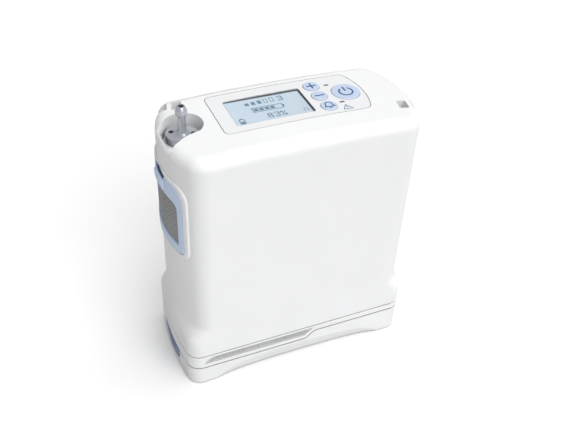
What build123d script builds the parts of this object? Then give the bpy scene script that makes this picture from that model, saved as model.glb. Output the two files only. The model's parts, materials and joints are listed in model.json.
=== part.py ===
"""Portable oxygen concentrator: hollow casing, control panel, outlet nozzle, intake filter,
slide-off battery, sieve columns, twin piston compressor, cooling fan, valves and electronics.

Millimetres. Z up, X along the long side, Y to the back. Origin under the middle of the footprint.
"""

import os
from math import cos, pi, sin, sqrt

from build123d import *

os.makedirs("parts", exist_ok=True)

# Casing
LOW_PLAN = (75.0, 34.0, 175.0, 8.6)
UP_PLAN = (73.6, 34.0, 60.0, 11.2)
TOP_Z = 167.2
CROWN_R = 1180.0
TOP_EDGE_R = 7.0
WALL = 2.4
FLARE_LOW = 34.5
FLARE_HIGH = 47.5

# Seams
BASE_TOP = 23.64
BASE_LOW_LEFT = 14.15
BASE_LOW_RIGHT = 19.3
JOG_X1 = 2.7
JOG_X2 = 10.8
SEAM = 0.8
PLUG_TOP = 26.0

# Control panel
PANEL_T = 0.8
LCD = (-10.4, 4.3, 45.2, 25.8)
BUTTONS = {
    "button_plus": (20.0, 16.2, 4.7),
    "button_minus": (20.3, 5.2, 4.7),
    "button_alert": (21.0, -6.0, 4.7),
    "button_power": (36.5, 5.1, 8.2),
}
LED_SPOTS = [(29.1, 15.4), (29.8, -4.0)]
KEY_BASE_Z = 163.2
KEY_PROUD = 0.55
BOARD_Z = 158.7
BOARD_T = 1.6
LCD_FACE_Z = 165.8

# Nozzle
NOZZLE_X = -59.5
NOZZLE_Y = 4.6
POCKET_FLOOR = 155.4
POCKET_R = 11.3
NOZZLE_TIP = 176.8
FLANGE_TOP = 160.7

# Intake filter on the left end
FILTER_Z0 = 99.3
FILTER_Z1 = 143.3
FILTER_HALF = 24.0
FILTER_R = (6.5, 4.0)
MESH_WINDOW = (20.0, 104.6, 133.2, 4.5, 1.6)
LIP_HALF = 7.8
FRAME_PROUD = 1.3
BEAD_PROUD = 1.1
LIP_PROUD = 2.4

# Battery
ARCH = [(-57.0, -0.1), (-46.6, 7.0), (-36, 10.0), (-22, 11.5), (-6, 12.0), (10, 11.7), (26, 10.8)]
ARCH += [(40, 9.0), (50, 5.6), (57.1, -0.1)]
RAIL_HALF = 19.9
PLATEAU_TOP = 22.0
PLATEAU_X0 = -64.5
CELL_R = 9.2
CELL_Y = 9.35
CELL_Z = 11.15
CELL_L = 65.0

# Compressor
CRANK_X = -14.0
CRANK_Z = 50.0
THROW = 3.5
PIN_R = 5.0
SHAFT_R = 3.0
BORE_R = 10.0
ROD_Y = {"left": -8.0, "right": -15.0}
BIG_END_R = PIN_R + 2 * THROW + 0.3

# Sieve columns
COL_X = 54.0
COL_Y = 14.6
COL_R = 13.0
COL_Z0 = 35.0
COL_Z1 = 140.0

# Cooling fan
FAN_Z = 118.0
FAN_X = -60.0


def save(part, name):
    """Label one finished piece and write its STEP file."""
    part.label = name
    export_step(part, f"parts/{name}.step")


def crown(x):
    """Height of the top surface above the base at a given x."""
    return TOP_Z - CROWN_R + sqrt(CROWN_R**2 - x**2)


def plan(shape, z, off=0.0):
    """Horizontal outline: straight sides, bowed ends, rounded corners."""
    a, b, re, rc = [value + off for value in shape]
    e = a - re
    yc = b - rc
    xc = e + sqrt((re - rc) ** 2 - yc**2)
    ux, uy = (xc - e) / (re - rc), yc / (re - rc)
    tx, ty = e + ux * re, uy * re
    mx, my = ux, uy + 1.0
    ml = sqrt(mx**2 + my**2)
    kx, ky = xc + rc * mx / ml, yc + rc * my / ml
    with BuildSketch(Plane.XY.offset(z)) as outline:
        with BuildLine():
            Line((-xc, -b), (xc, -b))
            ThreePointArc((xc, -b), (kx, -ky), (tx, -ty))
            ThreePointArc((tx, -ty), (a, 0), (tx, ty))
            ThreePointArc((tx, ty), (kx, ky), (xc, b))
            Line((xc, b), (-xc, b))
            ThreePointArc((-xc, b), (-kx, ky), (-tx, ty))
            ThreePointArc((-tx, ty), (-a, 0), (-tx, -ty))
            ThreePointArc((-tx, -ty), (-kx, -ky), (-xc, -b))
        make_face()
    return outline.sketch


def upper_solid(z0, z1, off=0.0):
    """Solid between two heights with the upper body's outline, grown by off."""
    with BuildPart() as upright:
        extrude(plan(UP_PLAN, z0, off), amount=z1 - z0)
    return upright.part


def flare(t):
    """Outline values between the wide foot (0) and the upper body (1)."""
    s = t * t * (3 - 2 * t)
    low, up = LOW_PLAN, UP_PLAN
    re = 1 / ((1 - s) / low[2] + s / up[2])
    return (low[0] + s * (up[0] - low[0]), low[1], re, low[3] + s * (up[3] - low[3]))


def body_solid(z0, off, edge_r):
    """Full body from z0 up to the crowned top, moved inward by off."""
    with BuildPart() as body:
        extrude(plan(LOW_PLAN, z0, off), amount=FLARE_LOW - z0)
        steps = [plan(flare(i / 6), FLARE_LOW + (FLARE_HIGH - FLARE_LOW) * i / 6, off) for i in range(7)]
        loft(steps)
        add(upper_solid(FLARE_HIGH, TOP_Z + 4, off))
        with BuildSketch(Plane.XZ.offset(-60)) as side:
            with BuildLine():
                ThreePointArc((-90, crown(90) + off), (0, TOP_Z + off), (90, crown(90) + off))
                Polyline((90, crown(90) + off), (90, z0 - 5), (-90, z0 - 5), (-90, crown(90) + off))
            make_face()
        extrude(side.sketch, amount=120, mode=Mode.INTERSECT)
        if edge_r:
            fillet(body.faces().sort_by(Axis.Z)[-1].edges(), radius=edge_r)
    return body.part


def crown_slab(top_drop, bottom_drop, half=70.0):
    """Slab that follows the crown between two depths under the top surface."""
    side = crown(half)
    with BuildPart() as slab:
        with BuildSketch(Plane.XZ.offset(-40)):
            with BuildLine():
                ThreePointArc((-half, side - top_drop), (0, TOP_Z - top_drop), (half, side - top_drop))
                Line((half, side - top_drop), (half, side - bottom_drop))
                ThreePointArc(
                    (half, side - bottom_drop), (0, TOP_Z - bottom_drop), (-half, side - bottom_drop)
                )
                Line((-half, side - bottom_drop), (-half, side - top_drop))
            make_face()
        extrude(amount=80)
    return slab.part


def panel_outline(z, off=0.0):
    """Outline of the control panel with its bowed right edge."""
    with BuildSketch(Plane.XY.offset(z)) as outline:
        with BuildLine():
            Polyline((42.6, 24.5), (-41.2, 24.5), (-41.2, -13.9), (42.6, -13.9))
            ThreePointArc((42.6, -13.9), (47.0, 5.3), (42.6, 24.5))
        make_face()
        fillet(outline.vertices().sort_by(Axis.X)[:2], radius=3.2)
        fillet(outline.vertices().sort_by(Axis.X)[-2:], radius=4.5)
        if off:
            offset(amount=off)
    return outline.sketch


def seam_step(shift=0.0, rise=0.0):
    """Step of the lower seam, drawn as a soft S on the XZ plane."""
    low = (JOG_X1 - 1.0 + shift, BASE_LOW_LEFT + rise)
    high = (JOG_X2 + 1.0 + shift, BASE_LOW_RIGHT + rise)
    Spline(low, high, tangents=((1, 0), (1, 0)))
    return low, high


def pocket_outline(z):
    """Outline of the nozzle pocket: a circle with a tail that sweeps to the left end."""
    cx, cy = NOZZLE_X, 4.2
    near = (cx + POCKET_R * cos(-0.9), cy + POCKET_R * sin(-0.9))
    far = (cx + POCKET_R * cos(0.9), cy + POCKET_R * sin(0.9))
    with BuildSketch(Plane.XY.offset(z)) as outline:
        with BuildLine():
            ThreePointArc(near, far, (cx - POCKET_R + 0.3, cy + 1.2))
            Line((cx - POCKET_R + 0.3, cy + 1.2), (-69.0, -4.0))
            Line((-69.0, -4.0), (-66.4, -10.9))
            Spline((-66.4, -10.9), (-64.3, -9.3), (-58.6, -6.3), near)
        make_face()
    return outline.sketch


def pocket_ramp():
    """Sloped cut that opens the pocket onto the left end."""
    with BuildPart() as ramp:
        with BuildSketch(Plane.XZ.offset(-30)) as slope:
            with BuildLine():
                Polyline((-60, POCKET_FLOOR), (-68.4, POCKET_FLOOR), (-72.6, 161.9), (-80, 171.0))
                Polyline((-80, 171.0), (-80, 176), (-60, 176), (-60, POCKET_FLOOR))
            make_face()
        extrude(slope.sketch, amount=60)
        with BuildSketch(Plane.XY.offset(150)) as sweep_plan:
            with BuildLine():
                Line((-60, 12.5), (-66.2, 13.2))
                Spline((-66.2, 13.2), (-69.9, 10.1), (-73.5, 9.2))
                Polyline((-73.5, 9.2), (-80, 9.0), (-80, -18.0), (-72.4, -14.6))
                Spline((-72.4, -14.6), (-69.0, -12.4), (-64.4, -9.3), (-60, -6.8))
                Line((-60, -6.8), (-60, 12.5))
            make_face()
        extrude(sweep_plan.sketch, amount=30, mode=Mode.INTERSECT)
    return ramp.part


def end_outline(half, z0, z1, r_top, r_low, off=0.0):
    """Rounded outline on the left end, drawn on the YZ plane."""
    with BuildSketch(Plane.YZ.offset(-85)) as outline:
        with Locations((0, (z0 + z1) / 2)):
            Rectangle(2 * half + 2 * off, z1 - z0 + 2 * off)
        fillet(outline.vertices().group_by(Axis.Y)[-1], radius=r_top + off)
        fillet(outline.vertices().group_by(Axis.Y)[0], radius=r_low + off)
    return outline.sketch


def strap_frame(x, y, angle):
    """Work plane at a strap slot: local X points outward through the wall."""
    return Plane(origin=(x, y, 0), x_dir=(cos(angle * pi / 180), sin(angle * pi / 180), 0), z_dir=(0, 0, 1))


STRAPS = [strap_frame(61.8, -15.6, -9), strap_frame(-57.0, 23.6, 166)]
BOSSES = [(-67.5, 27.0), (-67.5, -27.0), (36.0, 28.9), (36.0, -28.9)]

# ---------------------------------------------------------------- main casing
with BuildPart() as cavity:
    add(body_solid(BASE_TOP - 4, -WALL, TOP_EDGE_R - WALL))
    with BuildSketch(Plane.XY.offset(POCKET_FLOOR - 2)) as cup:
        with Locations((NOZZLE_X, 4.2)):
            Circle(POCKET_R + 2)
        with Locations((-69.0, 1.7)):
            Rectangle(24, 31.0)
    extrude(cup.sketch, amount=20, mode=Mode.SUBTRACT)
    for frame in STRAPS:
        with BuildSketch(frame.offset(151)) as block:
            with Locations((2.5, 0)):
                Rectangle(14.0, 11.5)
        extrude(block.sketch, amount=20, mode=Mode.SUBTRACT)
    with BuildSketch(Plane.XY.offset(PLUG_TOP + 0.1)) as bosses:
        with Locations(*BOSSES):
            Circle(3.2)
    extrude(bosses.sketch, amount=9.5, mode=Mode.SUBTRACT)
    with BuildSketch(Plane.YZ.offset(-74)) as scoop_block:
        with Locations((0, 142.5)):
            Rectangle(20, 16)
    extrude(scoop_block.sketch, amount=7.5, mode=Mode.SUBTRACT)

with BuildPart() as rebate:
    extrude(end_outline(FILTER_HALF, FILTER_Z0, FILTER_Z1, *FILTER_R, 0.3), amount=25)
    add(upper_solid(80, 165, -1.5), mode=Mode.SUBTRACT)

with BuildPart() as bead:
    add(upper_solid(88, 154, BEAD_PROUD))
    add(upper_solid(87, 155, -1.0), mode=Mode.SUBTRACT)
    extrude(end_outline(FILTER_HALF, FILTER_Z0, FILTER_Z1, *FILTER_R, 3.0), amount=30, mode=Mode.INTERSECT)
    fillet(bead.faces().sort_by(Axis.X)[0].outer_wire().edges(), radius=1.0)

with BuildPart() as casing:
    add(body_solid(BASE_TOP + SEAM / 2, 0, TOP_EDGE_R))
    add(cavity.part, mode=Mode.SUBTRACT)
    add(bead.part)
    add(rebate.part, mode=Mode.SUBTRACT)
    extrude(end_outline(*MESH_WINDOW, 0.4), amount=20, mode=Mode.SUBTRACT)
    with BuildSketch(Plane.YZ.offset(-80)) as scoop:
        with Locations((0, 143.2)):
            Ellipse(9.2, 2.9)
    extrude(scoop.sketch, amount=11.4, mode=Mode.SUBTRACT)
    extrude(pocket_outline(POCKET_FLOOR), amount=20, mode=Mode.SUBTRACT)
    add(pocket_ramp(), mode=Mode.SUBTRACT)
    with BuildSketch(Plane.XY.offset(POCKET_FLOOR - 4)) as stub_hole:
        with Locations((NOZZLE_X, NOZZLE_Y)):
            Circle(4.2)
    extrude(stub_hole.sketch, amount=8, mode=Mode.SUBTRACT)
    for frame in STRAPS:
        with BuildSketch(frame.offset(153)) as top_hole:
            RectangleRounded(5.6, 7.8, 1.2)
        extrude(top_hole.sketch, amount=20, mode=Mode.SUBTRACT)
        with BuildSketch(frame.offset(157.5)) as tunnel:
            with Locations((3.0, 0)):
                Rectangle(7.0, 7.2)
        extrude(tunnel.sketch, amount=3.6, mode=Mode.SUBTRACT)
        with BuildSketch(frame.offset(159.3)) as mouth:
            with Locations((11.2, 0)):
                Rectangle(12.0, 7.2)
        extrude(mouth.sketch, amount=20, mode=Mode.SUBTRACT)
    with BuildPart(mode=Mode.PRIVATE) as recess:
        add(crown_slab(-1.0, PANEL_T + 0.05))
        extrude(panel_outline(160, 0.4), amount=15, mode=Mode.INTERSECT)
    add(recess.part, mode=Mode.SUBTRACT)
    with BuildSketch(Plane.XY.offset(160)) as openings:
        with Locations((LCD[0], LCD[1])):
            Rectangle(LCD[2] - 1.0, LCD[3] - 1.0)
        for bx, by, br in BUTTONS.values():
            with Locations((bx, by)):
                Circle(br + 0.2)
        with Locations(*LED_SPOTS):
            SlotOverall(3.2, 1.6)
    extrude(openings.sketch, amount=15, mode=Mode.SUBTRACT)
    with BuildSketch(Plane.XY.offset(BASE_TOP - 2)) as pilots:
        with Locations(*BOSSES):
            Circle(1.35)
    extrude(pilots.sketch, amount=14, mode=Mode.SUBTRACT)
    with BuildSketch(Plane.XZ.offset(-34.2)) as label_seat:
        with Locations((0, 96)):
            RectangleRounded(60.3, 42.3, 2.1)
    extrude(label_seat.sketch, amount=0.45, mode=Mode.SUBTRACT)
save(casing.part, "main_casing")

with BuildPart() as label:
    with BuildSketch(Plane.XZ.offset(-33.95)):
        with Locations((0, 96)):
            RectangleRounded(60.0, 42.0, 2.0)
    extrude(amount=0.18)
save(label.part, "rating_label")

# ---------------------------------------------------------------- control panel
with BuildPart() as panel:
    add(crown_slab(0.0, PANEL_T))
    extrude(panel_outline(160), amount=15, mode=Mode.INTERSECT)
    with BuildSketch(Plane.XY.offset(160)) as panel_holes:
        with Locations((LCD[0], LCD[1])):
            RectangleRounded(LCD[2] + 0.1, LCD[3] + 0.1, 1.5)
        for bx, by, br in BUTTONS.values():
            with Locations((bx, by)):
                Circle(br + 0.22)
        with Locations(*LED_SPOTS):
            SlotOverall(3.2, 1.6)
    extrude(panel_holes.sketch, amount=15, mode=Mode.SUBTRACT)
save(panel.part, "control_panel")

with BuildPart() as window:
    add(crown_slab(0.12, PANEL_T))
    with BuildSketch(Plane.XY.offset(160)) as window_shape:
        with Locations((LCD[0], LCD[1])):
            RectangleRounded(LCD[2], LCD[3], 1.45)
    extrude(window_shape.sketch, amount=15, mode=Mode.INTERSECT)
save(window.part, "lcd_window")

with BuildPart() as lcd:
    with BuildSketch(Plane.XY.offset(BOARD_Z + BOARD_T)):
        with Locations((LCD[0], LCD[1])):
            Rectangle(LCD[2] + 4, LCD[3] + 3.4)
    extrude(amount=3.6)
    fillet(lcd.edges().filter_by(Axis.Z), radius=0.8)
    with BuildSketch(Plane.XY.offset(BOARD_Z + BOARD_T + 3.6)) as lcd_glass:
        with Locations((LCD[0], LCD[1])):
            Rectangle(LCD[2] - 1.2, LCD[3] - 1.2)
    extrude(lcd_glass.sketch, amount=LCD_FACE_Z - BOARD_Z - BOARD_T - 3.6)
save(lcd.part, "lcd_module")

for key, (bx, by, br) in BUTTONS.items():
    with BuildPart() as button:
        with BuildSketch(Plane.XY.offset(KEY_BASE_Z)) as stem:
            with Locations((bx, by)):
                Circle(br)
        extrude(stem.sketch, amount=crown(bx) + KEY_PROUD - KEY_BASE_Z)
        fillet(button.edges().sort_by(Axis.Z)[-1], radius=0.45)
        with BuildSketch(Plane.XY.offset(KEY_BASE_Z)) as flange:
            with Locations((bx, by)):
                Circle(br + 0.7)
        extrude(flange.sketch, amount=0.5)
    save(button.part, key)

with BuildPart() as leds:
    with BuildSketch(Plane.XY.offset(BOARD_Z + BOARD_T + 0.1)):
        with Locations(*LED_SPOTS):
            SlotOverall(2.9, 1.3)
    extrude(amount=crown(29.5) - BOARD_Z - BOARD_T - 0.15)
save(leds.part, "indicator_leds")

with BuildPart() as display_board:
    with BuildSketch(Plane.XY.offset(BOARD_Z)):
        with Locations((5.5, 4.8)):
            RectangleRounded(84, 34, 2)
        with Locations((-34, -9.8), (-34, 19.4), (45, -9.8), (45, 19.4)):
            Circle(1.3, mode=Mode.SUBTRACT)
    extrude(amount=BOARD_T)
save(display_board.part, "display_board")

with BuildPart() as switches:
    for bx, by, br in BUTTONS.values():
        with BuildSketch(Plane.XY.offset(BOARD_Z + BOARD_T)) as switch_body:
            with Locations((bx, by)):
                Rectangle(6, 6)
        extrude(switch_body.sketch, amount=1.6)
        with BuildSketch(Plane.XY.offset(BOARD_Z + BOARD_T + 1.6)) as switch_dome:
            with Locations((bx, by)):
                Circle(1.7)
        extrude(switch_dome.sketch, amount=0.75)
save(switches.part, "key_switches")

with BuildPart() as buzzer:
    with BuildSketch(Plane.XY.offset(BOARD_Z - 5.5)):
        with Locations((0, 5)):
            Circle(6)
            Circle(1, mode=Mode.SUBTRACT)
    extrude(amount=5.5)
save(buzzer.part, "buzzer")

# ---------------------------------------------------------------- outlet nozzle
with BuildPart() as nozzle:
    along = (cos(0.42), -sin(0.42), 0)
    flange_plane = Plane(origin=(NOZZLE_X, NOZZLE_Y, POCKET_FLOOR), x_dir=along, z_dir=(0, 0, 1))
    with BuildSketch(flange_plane) as nozzle_flange:
        Ellipse(9.1, 7.4)
    extrude(nozzle_flange.sketch, amount=FLANGE_TOP - POCKET_FLOOR)
    fillet(nozzle.edges().group_by(Axis.Z)[-1], radius=0.9)
    with BuildSketch(Plane(origin=(NOZZLE_X, NOZZLE_Y, 0), x_dir=(1, 0, 0), z_dir=(0, -1, 0))) as profile:
        with BuildLine():
            Polyline((0, 149.5), (4.0, 149.5), (4.0, 158.0), (3.5, FLANGE_TOP), (2.75, 161.4), (2.4, 162.6))
            Polyline((2.4, 162.6), (2.3, 163.6), (2.25, 170.6), (2.5, 170.9))
            Spline((2.5, 170.9), (3.05, 171.7), (3.3, 173.0), (3.1, 174.6), (2.6, 175.8), (2.15, 176.6))
            Polyline((2.15, 176.6), (1.95, NOZZLE_TIP), (0, NOZZLE_TIP), (0, 149.5))
        make_face()
    revolve(profile.sketch, axis=Axis((NOZZLE_X, NOZZLE_Y, 0), (0, 0, 1)))
    with BuildSketch(Plane.XY.offset(149)) as bore:
        with Locations((NOZZLE_X, NOZZLE_Y)):
            Circle(1.5)
    extrude(bore.sketch, amount=40, mode=Mode.SUBTRACT)
    with BuildSketch(Plane.XY.offset(149)) as filter_seat:
        with Locations((NOZZLE_X, NOZZLE_Y)):
            Circle(3.0)
    extrude(filter_seat.sketch, amount=4.0, mode=Mode.SUBTRACT)
    with BuildSketch(flange_plane.offset(2.4)) as spanner_holes:
        with Locations((-6.0, 0), (6.0, 0)):
            Circle(1.4)
    extrude(spanner_holes.sketch, amount=4, mode=Mode.SUBTRACT)
save(nozzle.part, "outlet_nozzle")

with BuildPart() as outlet_filter:
    with BuildSketch(Plane.XY.offset(151.2)):
        with Locations((NOZZLE_X, NOZZLE_Y)):
            Circle(2.95)
    extrude(amount=1.6)
save(outlet_filter.part, "outlet_filter")

with BuildPart() as nozzle_nut:
    with BuildSketch(Plane.XY.offset(POCKET_FLOOR - 2 - 3.1)):
        with Locations((NOZZLE_X, NOZZLE_Y)):
            RegularPolygon(6.4, 6)
            Circle(4.05, mode=Mode.SUBTRACT)
    extrude(amount=3.0)
save(nozzle_nut.part, "nozzle_nut")

# ---------------------------------------------------------------- intake filter
with BuildPart() as finger_lip:
    add(upper_solid(136.0, 141.2, LIP_PROUD))
    add(upper_solid(135.0, 142.2, BEAD_PROUD), mode=Mode.SUBTRACT)
    extrude(end_outline(LIP_HALF, 133.0, 141.2, 2.5, 3.0), amount=30, mode=Mode.INTERSECT)
    fillet(finger_lip.faces().sort_by(Axis.X)[0].outer_wire().edges().group_by(Axis.Z)[-1], radius=0.4)

with BuildPart() as filter_frame:
    add(upper_solid(90, 150, FRAME_PROUD))
    add(upper_solid(89, 151, -1.4), mode=Mode.SUBTRACT)
    extrude(end_outline(FILTER_HALF, FILTER_Z0, FILTER_Z1, *FILTER_R), amount=30, mode=Mode.INTERSECT)
    fillet(filter_frame.faces().sort_by(Axis.X)[0].outer_wire().edges(), radius=0.6)
    extrude(end_outline(*MESH_WINDOW), amount=30, mode=Mode.SUBTRACT)
    with BuildPart(mode=Mode.PRIVATE) as finger_room:
        add(upper_solid(138.0, 149.0, 3.0))
        add(upper_solid(137.0, 150.0, -0.5), mode=Mode.SUBTRACT)
        extrude(end_outline(LIP_HALF - 0.4, 138.2, 150.0, 1.0, 2.5), amount=30, mode=Mode.INTERSECT)
    add(finger_room.part, mode=Mode.SUBTRACT)
    add(finger_lip.part)
save(filter_frame.part, "filter_frame")

with BuildPart() as filter_mesh:
    add(upper_solid(100, 136, 0.35))
    add(upper_solid(99, 137, -0.45), mode=Mode.SUBTRACT)
    extrude(end_outline(*MESH_WINDOW, -0.02), amount=30, mode=Mode.INTERSECT)
save(filter_mesh.part, "filter_mesh")

# ---------------------------------------------------------------- cooling fan
with BuildPart() as fan_frame:
    with BuildSketch(Plane.YZ.offset(FAN_X - 5)):
        with Locations((0, FAN_Z)):
            RectangleRounded(40, 40, 3)
            Circle(18.2, mode=Mode.SUBTRACT)
            with GridLocations(32, 32, 2, 2):
                Circle(1.8, mode=Mode.SUBTRACT)
    extrude(amount=10)
    with BuildSketch(Plane.YZ.offset(FAN_X + 3.6)) as spider:
        with Locations((0, FAN_Z)):
            Circle(8.5)
            with PolarLocations(12.5, 3, start_angle=30):
                Rectangle(13, 2.2)
    extrude(spider.sketch, amount=1.4)
    with BuildSketch(Plane.YZ.offset(FAN_X - 3)) as fan_bearing:
        with Locations((0, FAN_Z)):
            Circle(2.6)
    extrude(fan_bearing.sketch, amount=8)
    with BuildSketch(Plane.YZ.offset(FAN_X - 4)) as fan_bearing_bore:
        with Locations((0, FAN_Z)):
            Circle(1.05)
    extrude(fan_bearing_bore.sketch, amount=8.6, mode=Mode.SUBTRACT)
save(fan_frame.part, "cooling_fan_frame")

with BuildPart() as fan_rotor:
    with BuildSketch(Plane.YZ.offset(FAN_X - 4.6)) as hub:
        with Locations((0, FAN_Z)):
            Circle(8.2)
    extrude(hub.sketch, amount=7.6)
    with BuildSketch(Plane.YZ.offset(FAN_X - 3.4)) as hub_hollow:
        with Locations((0, FAN_Z)):
            Circle(7.2)
    extrude(hub_hollow.sketch, amount=8, mode=Mode.SUBTRACT)
    with BuildSketch(Plane.YZ.offset(FAN_X - 3.4)) as fan_pin:
        with Locations((0, FAN_Z)):
            Circle(1.0)
    extrude(fan_pin.sketch, amount=7.2)
    for k in range(7):
        cy, cz = cos(2 * pi * k / 7), sin(2 * pi * k / 7)
        blade_plane = Plane(
            origin=(FAN_X - 0.8, 7.8 * cy, FAN_Z + 7.8 * cz),
            x_dir=(0.788, 0.616 * cz, -0.616 * cy),
            z_dir=(0, cy, cz),
        )
        with BuildSketch(blade_plane) as blade:
            Rectangle(1.0, 8.4)
        extrude(blade.sketch, amount=9.2)
save(fan_rotor.part, "cooling_fan_rotor")

# ---------------------------------------------------------------- base housing
with BuildPart() as slot_shape:
    with BuildSketch(Plane.XZ.offset(28)):
        with BuildLine():
            Spline((-63.6, 17.2), (-61.6, 20.3), (-57.0, 22.0), tangents=((0.2, 1), (1, 0)))
            Polyline((-57.0, 22.0), (8.6, 22.0), (2.8, 16.9), (-63.6, 16.9), (-63.6, 17.2))
        make_face()
    extrude(amount=9)

with BuildPart() as base:
    extrude(plan(LOW_PLAN, BASE_LOW_LEFT), amount=BASE_TOP - SEAM / 2 - BASE_LOW_LEFT)
    fillet(base.faces().sort_by(Axis.Z)[-1].edges(), radius=0.3)
    with BuildSketch(Plane.XZ.offset(-40)) as right_cut:
        with BuildLine():
            low, high = seam_step()
            Polyline(high, (90, BASE_LOW_RIGHT), (90, 10), (low[0], 10), low)
        make_face()
    extrude(right_cut.sketch, amount=80, mode=Mode.SUBTRACT)
    extrude(plan(LOW_PLAN, BASE_TOP - SEAM / 2, -WALL - 0.2), amount=PLUG_TOP - BASE_TOP + SEAM / 2)
    with BuildSketch(Plane.XY.offset(10)) as battery_bay:
        with Locations(((PLATEAU_X0 - 0.5 + 90) / 2, 0)):
            Rectangle(90 - PLATEAU_X0 + 0.5, 2 * RAIL_HALF + 1.0)
    extrude(battery_bay.sketch, amount=PLATEAU_TOP + 0.4 - 10, mode=Mode.SUBTRACT)
    with BuildSketch(Plane.XY.offset(20.4)) as rail_grooves:
        with Locations(((90 - 61) / 2, 0)):
            Rectangle(151, 2 * RAIL_HALF + 4.8)
    extrude(rail_grooves.sketch, amount=1.7, mode=Mode.SUBTRACT)
    add(slot_shape.part, mode=Mode.SUBTRACT)
    with BuildSketch(Plane.XY.offset(21)) as vent_ups:
        with Locations((-49, -28.6), (-42, -28.6)):
            RectangleRounded(4.5, 4.4, 1)
    extrude(vent_ups.sketch, amount=8, mode=Mode.SUBTRACT)
    with BuildSketch(Plane.XY.offset(17.2)) as duct:
        with Locations((-26, -28.9)):
            Rectangle(56, 7.6)
    extrude(duct.sketch, amount=4.5, mode=Mode.SUBTRACT)
    with BuildSketch(Plane.XY.offset(10)) as screw_clear:
        with Locations(*BOSSES):
            Circle(1.6)
    extrude(screw_clear.sketch, amount=20, mode=Mode.SUBTRACT)
    with BuildSketch(Plane.XY.offset(10)) as head_clear:
        with Locations(*BOSSES):
            Circle(2.7)
    extrude(head_clear.sketch, amount=11.7, mode=Mode.SUBTRACT)
    with BuildSketch(Plane.XZ.offset(-35)) as jack_hole:
        with Locations((-45, 18.9)):
            Rectangle(10.2, 7.4)
    extrude(jack_hole.sketch, amount=10.6, mode=Mode.SUBTRACT)
    with BuildSketch(Plane.XZ.offset(-35)) as usb_hole:
        with Locations((-26, 18.9)):
            Rectangle(9.2, 3.8)
    extrude(usb_hole.sketch, amount=10.1, mode=Mode.SUBTRACT)
    with BuildSketch(Plane.YZ.offset(-70.1)) as connector_seat:
        with Locations((0, 18.6)):
            Rectangle(20.2, 6.2)
    extrude(connector_seat.sketch, amount=6, mode=Mode.SUBTRACT)
save(base.part, "base_housing")

with BuildPart() as grille:
    with BuildSketch(Plane.XZ.offset(30.4)) as strip:
        with BuildLine():
            Spline((-63.4, 17.35), (-61.45, 20.2), (-56.9, 21.85), tangents=((0.2, 1), (1, 0)))
            Polyline((-56.9, 21.85), (8.2, 21.85), (2.7, 17.05), (-63.4, 17.05), (-63.4, 17.35))
        make_face()
    extrude(strip.sketch, amount=3.3)
    with BuildPart(mode=Mode.PRIVATE) as slits:
        with BuildSketch(Plane.XZ.offset(29)) as comb:
            with Locations((-28.0, 19.45)):
                with GridLocations(1.15, 1, 60, 1):
                    Rectangle(0.42, 6)
        extrude(comb.sketch, amount=6)
        with BuildSketch(Plane.XZ.offset(28)) as slit_field:
            with BuildLine():
                Polyline((-61.6, 17.75), (-60.3, 19.6), (-56.9, 21.15), (6.4, 21.15), (2.5, 17.75))
                Line((2.5, 17.75), (-61.6, 17.75))
            make_face()
        extrude(slit_field.sketch, amount=8, mode=Mode.INTERSECT)
    add(slits.part, mode=Mode.SUBTRACT)
save(grille.part, "exhaust_grille")

with BuildPart() as connector:
    with BuildSketch(Plane.YZ.offset(-70.0)) as connector_block:
        with Locations((0, 18.6)):
            Rectangle(20, 6)
    extrude(connector_block.sketch, amount=4.9)
    with BuildSketch(Plane.YZ.offset(-65.1)) as blades:
        with Locations((0, 18.6)):
            with GridLocations(3.6, 1, 5, 1):
                Rectangle(0.8, 3.2)
    extrude(blades.sketch, amount=3.0)
save(connector.part, "battery_connector")

with BuildPart() as jack:
    with BuildSketch(Plane.XZ.offset(-33.7)) as jack_body:
        with Locations((-45, 18.9)):
            Rectangle(10, 7.2)
            Circle(3.0, mode=Mode.SUBTRACT)
            Circle(0.9)
    extrude(jack_body.sketch, amount=7.5)
    with BuildSketch(Plane.XZ.offset(-26.2)) as jack_back:
        with Locations((-45, 18.9)):
            Rectangle(10, 7.2)
    extrude(jack_back.sketch, amount=1.6)
save(jack.part, "power_jack")

with BuildPart() as usb:
    with BuildSketch(Plane.XZ.offset(-33.7)) as usb_shell:
        with Locations((-26, 18.9)):
            RectangleRounded(9.0, 3.6, 0.8)
            RectangleRounded(8.0, 2.6, 0.6, mode=Mode.SUBTRACT)
            Rectangle(6.0, 0.7)
    extrude(usb_shell.sketch, amount=6)
    with BuildSketch(Plane.XZ.offset(-27.7)) as usb_back:
        with Locations((-26, 18.9)):
            RectangleRounded(9.0, 3.6, 0.8)
    extrude(usb_back.sketch, amount=2.4)
save(usb.part, "service_port")

with BuildPart() as base_screws:
    with BuildSketch(Plane.XY.offset(19.9)) as heads:
        with Locations(*BOSSES):
            Circle(2.5)
            RegularPolygon(1.1, 6, mode=Mode.SUBTRACT)
    extrude(heads.sketch, amount=1.0)
    with BuildSketch(Plane.XY.offset(20.9)) as heads_top:
        with Locations(*BOSSES):
            Circle(2.5)
    extrude(heads_top.sketch, amount=0.7)
    with BuildSketch(Plane.XY.offset(21.6)) as shanks:
        with Locations(*BOSSES):
            Circle(1.3)
    extrude(shanks.sketch, amount=11.5)
save(base_screws.part, "base_screws")

# ---------------------------------------------------------------- battery
with BuildPart() as latch_profile:
    with BuildSketch(Plane.YZ.offset(-80)) as u_shape:
        with BuildLine():
            Polyline((-15, 9.0), (-15, 25), (15, 25), (15, 9.0))
            ThreePointArc((15, 9.0), (0, 4.4), (-15, 9.0))
        make_face()
    extrude(u_shape.sketch, amount=12.2)

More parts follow.
